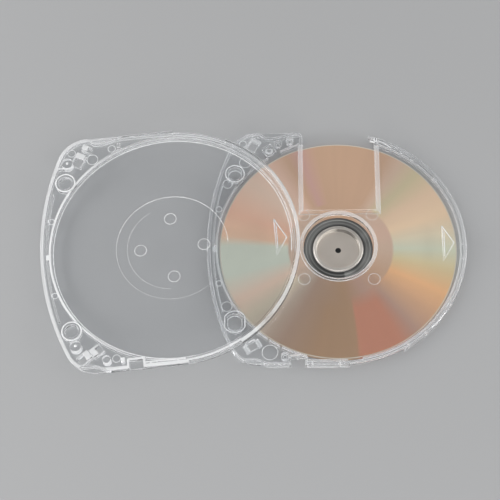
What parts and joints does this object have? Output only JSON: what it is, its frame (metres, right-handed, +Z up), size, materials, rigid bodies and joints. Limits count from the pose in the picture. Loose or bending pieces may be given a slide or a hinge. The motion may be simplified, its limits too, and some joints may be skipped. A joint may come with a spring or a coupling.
{
  "type": "game disc case",
  "caption": "Clear moulded cartridge case for a small optical game disc, opened: the rear shell lies over the disc with its steel hub, and the front shell leans on its long edge.",
  "frame": {"origin": "on the disc's axis, at the surface that the case lies on", "axes": "+Z up along the disc's axis, out of the hub opening; +X from the long side of the shells to their round end; +Y to the access window"},
  "size_m": [0.1079, 0.0668, 0.0056],
  "materials": {
    "clear_plastic": "clear polished moulding",
    "disc_mirror": "mirror layer under clear plastic, with rainbow sheen",
    "hub_steel": "stamped, satin cup and polished flange"
  },
  "bodies": {
    "case": {"rear_shell": "clear_plastic", "front_shell": "clear_plastic"},
    "disc": {"disc": "disc_mirror", "hub_plate": "hub_steel"}
  },
  "joints": [
    {"name": "disc_spin", "type": "hinge", "parent": "case", "child": "disc", "pos_m": [0, 0, 0.0003], "axis": [0, 0, 1], "continuous": true}
  ]
}
